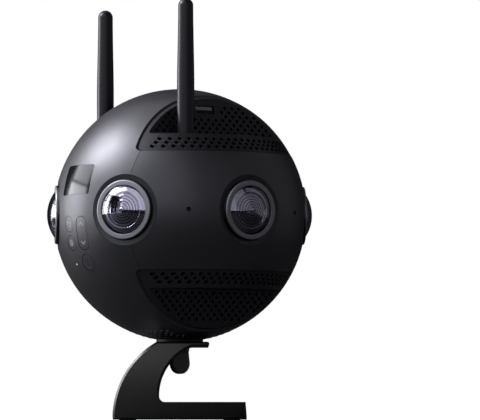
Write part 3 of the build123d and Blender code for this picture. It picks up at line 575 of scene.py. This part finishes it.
# %% Lens stack
SHARP_ANGLE = math.radians(10)
clamp_finish = grained("satin_anodised_clamp_ring", "#80818b", "#8d8e99", 0.46, 0.3, 0.002, Metallic=1.0)
ring_coat = polished("dark_coated_turned_ring", "#c2c2ca", "#cdcdd6", 0.09, 1.6)
cone_coat = polished("dark_coated_turned_cones", "#80808a", "#d6d6e0", 0.09, 1.5)
lens_stack = (
    ("clamp_ring", CLAMP_SECTION, clamp_finish),
    ("sloping_ring", RING_SECTION, ring_coat),
    ("inner_cones", cone_section, cone_coat),
)
for place_name, bearing in LENS_BEARINGS.items():
    for title, section, finish in lens_stack:
        made = piece(f"{place_name}_{title}", spun(section), finish, "camera", lens_matrix(bearing), True)
        made.data.set_sharp_from_angle(angle=SHARP_ANGLE)
print("lens stacks:", len(LENS_BEARINGS), "pieces in each:", len(lens_stack))

# %% [markdown]
# ## Filters behind the vents
#
# Behind the holes of the vents all is plain black. A black woven filter, as such housings have, stands
# there: nothing inside shows and no light passes through the ball. Its near-black is also painted shade,
# for the shade inside the vents. It is a sheet that leans with the grille, between it and the edge of
# the housing, and a band of a sphere behind the strip. A noise of 0.4 mm stands for its weave, about as
# fine as the picture can hold.

# %% Vent filters
VENT_LEAN = math.radians(13)
VENT_EDGE_X_MM, VENT_EDGE_Z_MM = 34.5, 32.89
SHEET_X_MM = VENT_EDGE_X_MM + 0.25
FILTER_RADIUS_MM = 68.2
LEDGE_UNDERSIDE_MM, SHEET_TOP_MM = 40.7, 62.2
BAND_LOW_MM, BAND_EDGE_MM = VENT_EDGE_Z_MM + 0.3, SHEET_X_MM + 0.4
SHEET_STEPS, BAND_ROWS, BAND_STEPS = 12, 6, 40
# This near-black finish is a filter's weave and painted shade at once; the sound holes use it too.
filter_weave_painted_shade = grained("black_filter_painted_shade", "#030303", "#0a0a0b", 0.9, 0.4, 0.02, IOR=1.5)


def filter_sheet(name, rows_mm, right, upper):
    """A sheet through rows of points, carried to one of the four vents."""
    sheet = bmesh.new()
    across, along = (1 if right else -1), (1 if upper else -1)
    grid = [
        [sheet.verts.new((x * across * MM, y * MM, z * along * MM)) for x, y, z in row] for row in rows_mm
    ]
    for low, high in zip(grid, grid[1:]):
        for index in range(len(low) - 1):
            sheet.faces.new((low[index], low[index + 1], high[index + 1], high[index]))
    return piece(name, sheet, filter_weave_painted_shade, "camera", Matrix.Translation(ball_centre))

# %% Sheets and bands for the four vents
lean_rows, band_rows = [], []
for step in range(SHEET_STEPS + 1):
    z = LEDGE_UNDERSIDE_MM + (SHEET_TOP_MM - LEDGE_UNDERSIDE_MM) * step / SHEET_STEPS
    x = SHEET_X_MM - math.tan(VENT_LEAN) * (z - VENT_EDGE_Z_MM)
    half = math.sqrt(max(FILTER_RADIUS_MM ** 2 - x * x - z * z, 1))
    lean_rows.append([(x, half * (2 * index / SHEET_STEPS - 1), z) for index in range(SHEET_STEPS + 1)])
for step in range(BAND_ROWS + 1):
    z = BAND_LOW_MM + (LEDGE_UNDERSIDE_MM - BAND_LOW_MM) * step / BAND_ROWS
    ring = math.sqrt(FILTER_RADIUS_MM ** 2 - z * z)
    reach = math.acos(BAND_EDGE_MM / ring)
    turns = [reach * (2 * index / BAND_STEPS - 1) for index in range(BAND_STEPS + 1)]
    band_rows.append([(ring * math.cos(turn), ring * math.sin(turn), z) for turn in turns])
for side in ("right", "left"):
    for level in ("upper", "lower"):
        for title, rows_mm in (("grille_filter", lean_rows), ("strip_filter", band_rows)):
            made = filter_sheet(f"{level}_{side}_{title}", rows_mm, side == "right", level == "upper")
            print(made.name, "faces:", len(made.data.polygons))

# %% [markdown]
# ## Tongue of the port
#
# Inside a USB port lies a tongue of plastic that carries the contacts. A flat grey bar in the port's
# opening shows it, a little lighter than the port's black steel. The port leans with the grille.

# %% Port tongue
PORT_PLACE_MM = (31.17, -4.0, 57.7)
TONGUE_MM = (11.1, 1.9, 3.1)
TONGUE_RISE_MM, TONGUE_DEPTH_MM = 1.15, 2.45
tongue_finish = grained("grey_contact_tongue", "#515254", "#5d5e60", 0.45, 0.3, 0.004, IOR=1.6)
tongue_drawing = bmesh.new()
bmesh.ops.create_cube(tongue_drawing, size=1.0)
bmesh.ops.scale(tongue_drawing, vec=[size * MM for size in TONGUE_MM], verts=tongue_drawing.verts)
port_out = Vector((math.cos(VENT_LEAN), 0, math.sin(VENT_LEAN)))
port_up = Vector((-math.sin(VENT_LEAN), 0, math.cos(VENT_LEAN)))
tongue_offset = port_up * TONGUE_RISE_MM - port_out * TONGUE_DEPTH_MM
tongue_place = ball_centre + (Vector(PORT_PLACE_MM) + tongue_offset) * MM
tongue_matrix = Matrix((
    (0, port_up.x, port_out.x, tongue_place.x), (1, 0, 0, tongue_place.y),
    (0, port_up.z, port_out.z, tongue_place.z), (0, 0, 0, 1),
))
tongue = piece("contact_tongue_cover", tongue_drawing, tongue_finish, "camera", tongue_matrix)
print("tongue:", tongue.name)

# %% [markdown]
# ## Perforations below the ball
#
# Rings of small holes lie round the mount, in a band across the ball's underside, and let sound through.
# Each is drawn as a black disc inside a lip that stands 0.14 mm proud. The black disc is painted shade, for
# the dark inside of the hole. The lip is paler than the paint: that is a painted highlight, for the light
# that the edge of each hole catches.

# %% Sound holes
HOLE_RINGS_MM = (27.9, 24.4, 20.8, 17.3)
HOLE_SPACING_MM = 3.4
HOLE_BAND_MM = 19.2
HOLE_CORNERS = 12
LIP_SECTION = ((0.78, -0.05), (0.74, 0.1), (0.64, 0.14), (0.54, 0.03))
DISC_SECTION = ((0.56, 0.03), (0.0001, 0.03))
# The lips' pale grey is a painted highlight, and the discs' black is painted shade inside the holes.
lip_painted_highlight = grained("hole_lip_painted_highlight", "#3e3f43", "#4a4b50", 0.45, 0.3, 0.002, IOR=1.5)
holes = {
    "sound_hole_lips": (bmesh.new(), LIP_SECTION, lip_painted_highlight),
    "sound_hole_painted_shade": (bmesh.new(), DISC_SECTION, filter_weave_painted_shade),
}
for row, ring in enumerate(HOLE_RINGS_MM):
    count = round(math.tau * ring / HOLE_SPACING_MM)
    depth = math.sqrt((ball_radius / MM) ** 2 - ring ** 2)
    for index in range(count):
        turn = math.tau * (index + 0.5 * (row % 2)) / count
        x, y = ring * math.cos(turn), ring * math.sin(turn)
        if abs(x) > HOLE_BAND_MM:
            continue
        out = Vector((x, y, -depth)).normalized()
        place = Matrix.Translation(out * ball_radius) @ out.to_track_quat("Z", "Y").to_matrix().to_4x4()
        for drawing, section, finish in holes.values():
            add_spin(drawing, section, HOLE_CORNERS, place)
for name, (drawing, section, finish) in holes.items():
    made = piece(name, drawing, finish, "camera", Matrix.Translation(ball_centre))
    print(name, "faces:", len(made.data.polygons))

# %% [markdown]
# ## Marks on the buttons
#
# The buttons carry printed marks that any such control has: a bent arrow for going back, a gear for
# settings, two chevrons for up and down, and a circle for the shutter. Real ones are ink a few hundredths
# of a millimetre thick. A raised line of 0.04 mm that follows the same path lies on the button and moves
# with it when it is pressed. Ink is slightly uneven, so its finish is mottled.
#
# The buttons' face looks forward and a little down. The marks are drawn flat, as x to the right and y up,
# in millimetres, and one matrix carries them to the face. Each line is a strip of constant width with
# mitred corners, whose foot reaches into the button below it.

# %% Drawing on the button face
BUTTON_TILT = math.radians(12.28)
STROKE_FOOT_MM = -0.4
MITRE_LIMIT = 0.4


def face_matrix(x_mm, y_mm, depth_mm):
    """Where a flat drawing goes on the button face, this far from the ball's centre."""
    right = Vector((1, 0, 0))
    out = Vector((0, -math.cos(BUTTON_TILT), -math.sin(BUTTON_TILT)))
    up = out.cross(right)
    place = ball_centre + (right * x_mm + up * y_mm + out * depth_mm) * MM
    return Matrix((
        (right.x, up.x, out.x, place.x), (right.y, up.y, out.y, place.y),
        (right.z, up.z, out.z, place.z), (0, 0, 0, 1),
    ))


def stroke(drawing, points_mm, width_mm, height_mm, closed):
    """Adds a flat raised line of constant width along these points to a bmesh, mitred at its corners."""
    count = len(points_mm)
    sides = []
    for index, (x, y) in enumerate(points_mm):
        before = points_mm[index - 1] if closed or index else None
        after = points_mm[(index + 1) % count] if closed or index < count - 1 else None
        here = Vector((x, y))
        ways = []
        if before is not None:
            ways.append((here - Vector(before)).normalized())
        if after is not None:
            ways.append((Vector(after) - here).normalized())
        way = sum(ways, Vector((0, 0))).normalized()
        across = Vector((-way.y, way.x)) * (width_mm / 2 / max(way.dot(ways[0]), MITRE_LIMIT))
        sides.append((here + across, here - across))
    rows = [
        [drawing.verts.new((p.x * MM, p.y * MM, z * MM)) for p in pair for z in (height_mm, STROKE_FOOT_MM)]
        for pair in sides
    ]
    last = count if closed else count - 1
    for index in range(last):
        a, b = rows[index], rows[(index + 1) % count]
        for corners in ((a[0], a[2], b[2], b[0]), (a[1], a[0], b[0], b[1]), (a[2], a[3], b[3], b[2])):
            drawing.faces.new(corners)
    if not closed:
        drawing.faces.new((rows[0][0], rows[0][1], rows[0][3], rows[0][2]))
        drawing.faces.new((rows[-1][0], rows[-1][2], rows[-1][3], rows[-1][1]))

# %% Button marks
INK_MM = 0.04
BUTTON_DEPTH_MM = ball_radius / MM - 0.1
GEAR_TEETH = 8
GEAR_TOOTH = ((-0.25, 1.25), (-0.15, 1.75), (0.15, 1.75), (0.25, 1.25))
mark_ink = grained("pale_printed_ink", "#66686d", "#74767b", 0.45, 0.3, 0.002, IOR=1.5)
dark_ink = grained("dark_printed_ink", "#2c2d30", "#36373a", 0.35, 0.3, 0.002, IOR=1.5)


def button_mark(name, body, x_mm, y_mm, lines, width_mm, ink):
    """Printed lines on a button. Each line is its points and whether it closes."""
    drawing = bmesh.new()
    for points, closed in lines:
        stroke(drawing, points, width_mm, INK_MM, closed)
    depth = math.sqrt(BUTTON_DEPTH_MM ** 2 - x_mm ** 2 - y_mm ** 2)
    tilt = Matrix.Rotation(-math.asin(y_mm / BUTTON_DEPTH_MM), 4, "X") @ Matrix.Rotation(
        math.asin(x_mm / BUTTON_DEPTH_MM), 4, "Y")
    mark = piece(name, drawing, ink, body, face_matrix(x_mm, y_mm, depth) @ tilt)
    return mark


gear_points = []
for tooth in range(GEAR_TEETH):
    middle = math.tau * tooth / GEAR_TEETH
    for turn, radius in GEAR_TOOTH:
        gear_points.append((radius * math.cos(middle + turn), radius * math.sin(middle + turn)))
arrow_bend = circle_points(1.05, 9, (0.7, -0.35), -math.pi / 2, math.pi)
back_arrow = [
    ([(-0.2, -1.4), (0.7, -1.4)] + arrow_bend + [(-1.6, 0.7)], False),
    ([(-0.7, 1.7), (-1.75, 0.7), (-0.7, -0.3)], False),
]
gear = [(gear_points, True), (circle_points(0.6, 16), True)]
up_chevron = [([(-1.9, -0.8), (0, 0.8), (1.9, -0.8)], False)]
down_chevron = [([(-1.9, 0.8), (0, -0.8), (1.9, 0.8)], False)]
shutter_circle = [(circle_points(3.2, 40), True)]
# Name, body, x and y on the face in mm, lines, their width in mm, ink.
MARKS = (
    ("back_mark", "back_button", -5.0, 8.64, back_arrow, 0.45, mark_ink),
    ("settings_mark", "settings_button", -5.0, -1.98, gear, 0.35, mark_ink),
    ("up_mark", "rocker", 6.8, 8.3, up_chevron, 0.6, mark_ink),
    ("down_mark", "rocker", 6.8, -2.2, down_chevron, 0.6, mark_ink),
    ("shutter_mark", "shutter_button", 6.1, -13.6, shutter_circle, 0.4, dark_ink),
)
print("marks:", [button_mark(*mark).name for mark in MARKS])

# %% [markdown]
# ## Floor and light
#
# The object stands on a plain pale floor in front of a white ground. The floor lights up a little to the
# camera, in reflections and through glass, so it is nearly white there and keeps the soft shadow. Four
# softboxes stand on the picture's left, three high up and one level with the ball, and draw the broad
# pale cloud on it. Black cards stand left, behind, right, above and low in front, two of them faintly
# glowing, and one lies half a millimetre above the floor, so that the ball's right side and underside
# stay dark. Cards are seen only in reflections and through glass, as a studio's cards are kept out of the
# picture.

# %% Floor
FLOOR_HALF_WIDTH = 3.0
FLOOR_DROP_MM = 0.2
FLOOR_MOTTLE_MM = 40
FLOOR_GLOW = 0.58


def seen_or_mirrored(tree):
    """A socket that is 1 to the camera, in reflections and through glass, and else 0."""
    path = add(tree, "ShaderNodeLightPath")
    seen = path.outputs["Is Camera Ray"]
    for ray in ("Is Glossy Ray", "Is Transmission Ray"):
        either = add(tree, "ShaderNodeMath", {"operation": "MAXIMUM"}, i0=seen, i1=path.outputs[ray])
        seen = either.outputs[0]
    return seen


floor_finish, floor_tree, floor_shader = new_finish("pale_studio_floor", Roughness=0.75)
floor_place = add(floor_tree, "ShaderNodeTexCoord").outputs["Object"]
floor_mottle = add(
    floor_tree, "ShaderNodeTexNoise", Vector=floor_place, Scale=1 / (FLOOR_MOTTLE_MM * MM), Detail=3.0
)
floor_colour = add(
    floor_tree, "ShaderNodeMix", {"data_type": "RGBA"}, i0=floor_mottle.outputs[0],
    i6=linear("#f0f0f0"), i7=linear("#f6f6f6"),
)
floor_tree.links.new(floor_colour.outputs[2], floor_shader.inputs["Base Color"])
lift = add(
    floor_tree, "ShaderNodeMath", {"operation": "MULTIPLY"}, i0=seen_or_mirrored(floor_tree), i1=FLOOR_GLOW
)
floor_shader.inputs["Emission Color"].default_value = linear("#ffffff")
floor_tree.links.new(lift.outputs[0], floor_shader.inputs["Emission Strength"])
floor_drawing = bmesh.new()
bmesh.ops.create_grid(floor_drawing, x_segments=1, y_segments=1, size=FLOOR_HALF_WIDTH)
floor = mesh_object("studio_floor", floor_drawing, floor_finish)
floor.location.z = -FLOOR_DROP_MM * MM
print("floor:", floor.name, "half width in m:", FLOOR_HALF_WIDTH)

# %% World
FILL_STRENGTH = 0.35
world = bpy.data.worlds.new("white_ground")
bpy.context.scene.world = world
world.use_nodes = True
world_tree = world.node_tree
background = world_tree.nodes["Background"]
background.inputs["Color"].default_value = linear("#ffffff")
world_strength = add(
    world_tree, "ShaderNodeMapRange", Value=seen_or_mirrored(world_tree), To_Min=FILL_STRENGTH, To_Max=1.0
)
world_tree.links.new(world_strength.outputs[0], background.inputs["Strength"])
print("world:", world.name, "fill:", FILL_STRENGTH)

# %% Softboxes
# Name, direction and distance from the ball, width and height, and how bright it looks, where 1 is white.
SOFTBOXES = (
    ("key_core", (-0.50, -0.57, 0.655), 1.0, 0.36, 0.34, 20),
    ("upper_softbox", (-0.575, -0.555, 0.588), 1.1, 0.76, 0.70, 4.0),
    ("lower_softbox", (-0.725, -0.675, 0.122), 1.1, 0.76, 0.39, 7),
    ("top_softbox", (-0.27, -0.58, 0.74), 1.1, 0.66, 0.55, 3.0),
)


def aim(thing, direction, distance):
    """Puts a lamp or card in this direction from the ball, facing it."""
    way = Vector(direction).normalized()
    thing.location = ball_centre + way * distance
    thing.rotation_euler = way.to_track_quat("Z", "Y").to_matrix().to_4x4().to_euler()


for name, direction, distance, width, height, level in SOFTBOXES:
    lamp = bpy.data.lights.new(name, "AREA")
    lamp.shape = "RECTANGLE"
    lamp.size, lamp.size_y = width, height
    lamp.energy = level * math.pi * width * height
    box = bpy.data.objects.new(name, lamp)
    bpy.context.scene.collection.objects.link(box)
    box.visible_camera = False
    aim(box, direction, distance)
print("softboxes:", len(SOFTBOXES))

# %% Black cards
# Name, direction, distance, width, height, and a glow, which makes a card the grey of a dim wall.
BLACK_CARDS = (
    ("gap_card", (-0.346, -0.902, 0.259), 0.9, 0.55, 0.62, 0.0),
    ("far_left_card", (-0.94, 0.17, 0.30), 0.9, 1.0, 1.3, 0.0),
    ("back_card", (-0.60, 0.80, 0.35), 0.9, 1.7, 1.6, 0.0),
    ("right_card", (0.62, 0.78, 0.25), 0.8, 1.4, 1.5, 0.15),
    ("right_front_card", (0.88, 0.0, 0.47), 0.9, 0.8, 0.9, 0.25),
    ("top_card", (0.42, 0.12, 0.90), 0.9, 1.0, 1.0, 0.0),
    ("low_front_card", (0.83, -0.56, -0.06), 0.8, 1.6, 0.12, 0.0),
    ("floor_card", (0, 0, -1), 0.1155, 2.4, 2.4, 0.0),
)
for name, direction, distance, width, height, glow in BLACK_CARDS:
    finish = grained(f"{name}_flock", "#020202", "#040404", 0.9, 2.0, 0.01)
    flock = finish.node_tree.nodes["Principled BSDF"]
    flock.inputs["Emission Color"].default_value = linear("#ffffff")
    flock.inputs["Emission Strength"].default_value = glow
    # The grid is one metre square, and the scale stretches it to the card's size.
    drawing = bmesh.new()
    bmesh.ops.create_grid(drawing, x_segments=1, y_segments=1, size=0.5)
    card = mesh_object(name, drawing, finish)
    card.scale = (width, height, 1)
    card.visible_camera = False
    card.visible_diffuse = False
    card.visible_shadow = False
    aim(card, direction, distance)
print("cards:", len(BLACK_CARDS))
